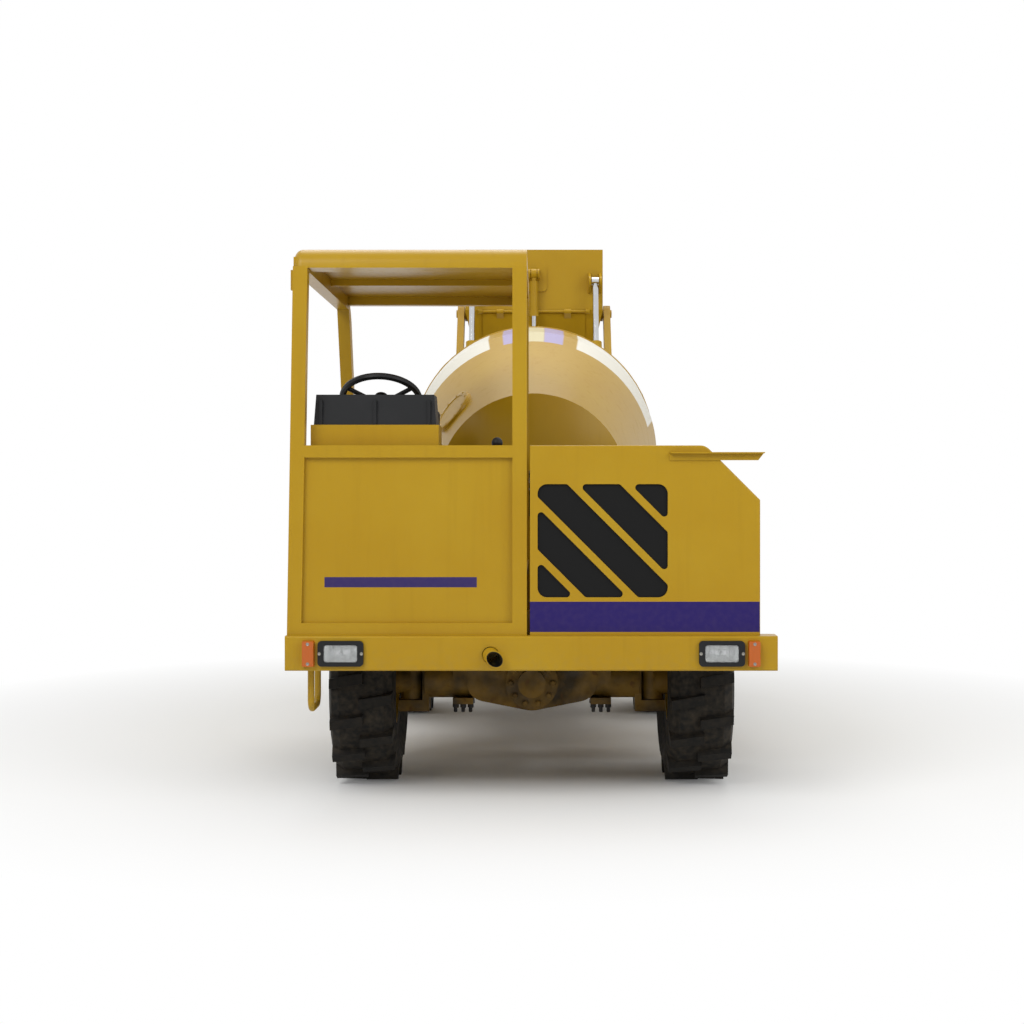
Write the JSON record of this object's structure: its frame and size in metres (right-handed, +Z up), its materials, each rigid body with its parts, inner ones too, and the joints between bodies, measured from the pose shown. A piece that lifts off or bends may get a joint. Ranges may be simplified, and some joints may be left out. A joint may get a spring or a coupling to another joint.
{
  "type": "self-loading concrete mixer",
  "caption": "Four-wheel-drive self-loading concrete mixer with an inclined drum, a raised loader shovel with a hatch, and an open canopied driver's stand.",
  "frame": {"origin": "on the ground under the middle of the machine's bounding box", "axes": "+Z up, +Y from the engine hood to the loader shovel, +X to the right looking along +Y"},
  "size_m": [2.2, 5.615, 3.21],
  "materials": {
    "yellow_paint": "mustard yellow enamel",
    "black_paint": "black enamel",
    "cast_axle": "painted dark casting",
    "bright_steel": "ground and plated rod",
    "tread_rubber": "black rubber",
    "black_plastic": "grained black plastic",
    "clear_lens": "clear moulded lens",
    "amber_lens": "amber moulded lens",
    "seat_vinyl": "black vinyl",
    "tank_grey": "mustard yellow enamel",
    "rusty_steel": "heat-stained steel"
  },
  "bodies": {
    "chassis": {"chassis_frame": "yellow_paint", "bumper_beam": "yellow_paint", "hood_panels": "yellow_paint", "rack_bracket": "yellow_paint", "stand_floor": "yellow_paint", "canopy_frame": "yellow_paint", "canopy_roof": "yellow_paint", "back_panel": "yellow_paint", "console_box": "yellow_paint", "access_step": "yellow_paint", "drum_pedestal": "yellow_paint", "drum_yoke": "yellow_paint", "feed_hopper": "yellow_paint", "chute_bracket": "yellow_paint", "water_tank": "tank_grey", "fuel_tank": "tank_grey", "headlamp_bezels": "black_plastic", "headlamp_lenses": "clear_lens", "turn_lamps": "amber_lens", "exhaust_pipe": "rusty_steel", "radiator_screen": "black_paint", "engine_block": "cast_axle", "console_cowl": "black_plastic", "steering_column": "black_paint", "seat_base": "black_paint", "seat_cushion": "seat_vinyl", "seat_back": "seat_vinyl", "drum_drive": "cast_axle", "drive_line": "cast_axle", "drum_rollers": "cast_axle", "hood_axle": "cast_axle", "loader_axle": "cast_axle"},
    "drum": {"drum_shell": "yellow_paint"},
    "steering_wheel": {"steering_wheel": "black_plastic"},
    "boom": {"loader_arms": "yellow_paint"},
    "shovel": {"shovel": "yellow_paint"},
    "hatch": {"shovel_hatch": "yellow_paint"},
    "chute": {"discharge_chute": "yellow_paint"},
    "lift_barrels": {"lift_barrels": "yellow_paint"},
    "lift_rods": {"lift_rods": "bright_steel"},
    "tilt_barrels": {"tilt_barrels": "yellow_paint"},
    "tilt_rods": {"tilt_rods": "bright_steel"},
    "hatch_barrel": {"hatch_barrel": "yellow_paint"},
    "hatch_rod": {"hatch_rod": "bright_steel"},
    "hood_left_knuckle": {"hood_left_knuckle": "cast_axle"},
    "hood_left_wheel": {"hood_left_rim": "yellow_paint", "hood_left_tyre": "tread_rubber"},
    "hood_right_knuckle": {"hood_right_knuckle": "cast_axle"},
    "hood_right_wheel": {"hood_right_rim": "yellow_paint", "hood_right_tyre": "tread_rubber"},
    "loader_left_knuckle": {"loader_left_knuckle": "cast_axle"},
    "loader_left_wheel": {"loader_left_rim": "yellow_paint", "loader_left_tyre": "tread_rubber"},
    "loader_right_knuckle": {"loader_right_knuckle": "cast_axle"},
    "loader_right_wheel": {"loader_right_rim": "yellow_paint", "loader_right_tyre": "tread_rubber"}
  },
  "joints": [
    {"name": "drum_spin", "type": "hinge", "parent": "chassis", "child": "drum", "pos_m": [0, -0.8125, 1.45], "axis": [0, 0.9816, 0.1908], "continuous": true},
    {"name": "steering_wheel_spin", "type": "hinge", "parent": "chassis", "child": "steering_wheel", "pos_m": [-0.718, -2.2625, 1.872], "axis": [0, 0.5299, 0.848], "continuous": true},
    {"name": "boom_lift", "type": "hinge", "parent": "chassis", "child": "boom", "pos_m": [0, 1.2375, 1.15], "axis": [-1, 0, 0], "range_deg": [0, 84]},
    {"name": "shovel_tilt", "type": "hinge", "parent": "boom", "child": "shovel", "pos_m": [0, 2.1675, 2.75], "axis": [1, 0, 0], "range_deg": [-15, 84]},
    {"name": "hatch_open", "type": "hinge", "parent": "shovel", "child": "hatch", "pos_m": [0, 1.9855, 2.75], "axis": [-1, 0, 0], "range_deg": [0, 55]},
    {"name": "chute_swivel", "type": "hinge", "parent": "chassis", "child": "chute", "pos_m": [0, 1.5525, 1.18], "axis": [0, 0, 1], "range_deg": [-22, 22]},
    {"name": "lift_barrel_swing", "type": "hinge", "parent": "chassis", "child": "lift_barrels", "pos_m": [0, 1.3445, 0.87], "axis": [-1, 0, 0], "range_deg": [0, 77.67]},
    {"name": "lift_rod_slide", "type": "slide", "parent": "lift_barrels", "child": "lift_rods", "axis": [0, -0.2905, -0.9569], "range_m": [0, 0.3918]},
    {"name": "tilt_barrel_swing", "type": "hinge", "parent": "boom", "child": "tilt_barrels", "pos_m": [0, 1.55339, 1.89246], "axis": [-1, 0, 0], "range_deg": [-2.35, 12.26]},
    {"name": "tilt_rod_slide", "type": "slide", "parent": "tilt_barrels", "child": "tilt_rods", "axis": [0, -0.2987, -0.9544], "range_m": [-0.0791, 0.4383]},
    {"name": "hatch_barrel_swing", "type": "hinge", "parent": "shovel", "child": "hatch_barrel", "pos_m": [0, 1.9075, 3.02], "axis": [-1, 0, 0], "range_deg": [0, 25.57]},
    {"name": "hatch_rod_slide", "type": "slide", "parent": "hatch_barrel", "child": "hatch_rod", "axis": [0, -0.0948, 0.9955], "range_m": [0, 0.1074]},
    {"name": "hood_left_steer", "type": "hinge", "parent": "chassis", "child": "hood_left_knuckle", "pos_m": [-0.6, -1.9125, 0.49], "axis": [0, 0, 1], "range_deg": [-25, 25]},
    {"name": "hood_left_roll", "type": "hinge", "parent": "hood_left_knuckle", "child": "hood_left_wheel", "pos_m": [-0.804, -1.9125, 0.49], "axis": [1, 0, 0], "continuous": true},
    {"name": "hood_right_steer", "type": "hinge", "parent": "chassis", "child": "hood_right_knuckle", "pos_m": [0.6, -1.9125, 0.49], "axis": [0, 0, 1], "range_deg": [-25, 25]},
    {"name": "hood_right_roll", "type": "hinge", "parent": "hood_right_knuckle", "child": "hood_right_wheel", "pos_m": [0.804, -1.9125, 0.49], "axis": [1, 0, 0], "continuous": true},
    {"name": "loader_left_steer", "type": "hinge", "parent": "chassis", "child": "loader_left_knuckle", "pos_m": [-0.6, 0.5375, 0.49], "axis": [0, 0, 1], "range_deg": [-25, 25]},
    {"name": "loader_left_roll", "type": "hinge", "parent": "loader_left_knuckle", "child": "loader_left_wheel", "pos_m": [-0.804, 0.5375, 0.49], "axis": [1, 0, 0], "continuous": true},
    {"name": "loader_right_steer", "type": "hinge", "parent": "chassis", "child": "loader_right_knuckle", "pos_m": [0.6, 0.5375, 0.49], "axis": [0, 0, 1], "range_deg": [-25, 25]},
    {"name": "loader_right_roll", "type": "hinge", "parent": "loader_right_knuckle", "child": "loader_right_wheel", "pos_m": [0.804, 0.5375, 0.49], "axis": [1, 0, 0], "continuous": true}
  ],
  "couplings": [
    {"joint": "lift_barrel_swing", "follows": "boom_lift", "ratio": 0.9223},
    {"joint": "lift_rod_slide", "follows": "boom_lift", "m_per_rad": 0.26653},
    {"joint": "tilt_barrel_swing", "follows": "shovel_tilt", "ratio": 0.14352},
    {"joint": "tilt_rod_slide", "follows": "shovel_tilt", "m_per_rad": 0.29825},
    {"joint": "hatch_barrel_swing", "follows": "hatch_open", "ratio": 0.46135},
    {"joint": "hatch_rod_slide", "follows": "hatch_open", "m_per_rad": 0.11089},
    {"joint": "hood_left_steer", "follows": "hood_right_steer", "ratio": 1},
    {"joint": "loader_left_steer", "follows": "hood_right_steer", "ratio": -1},
    {"joint": "loader_right_steer", "follows": "hood_right_steer", "ratio": -1}
  ]
}
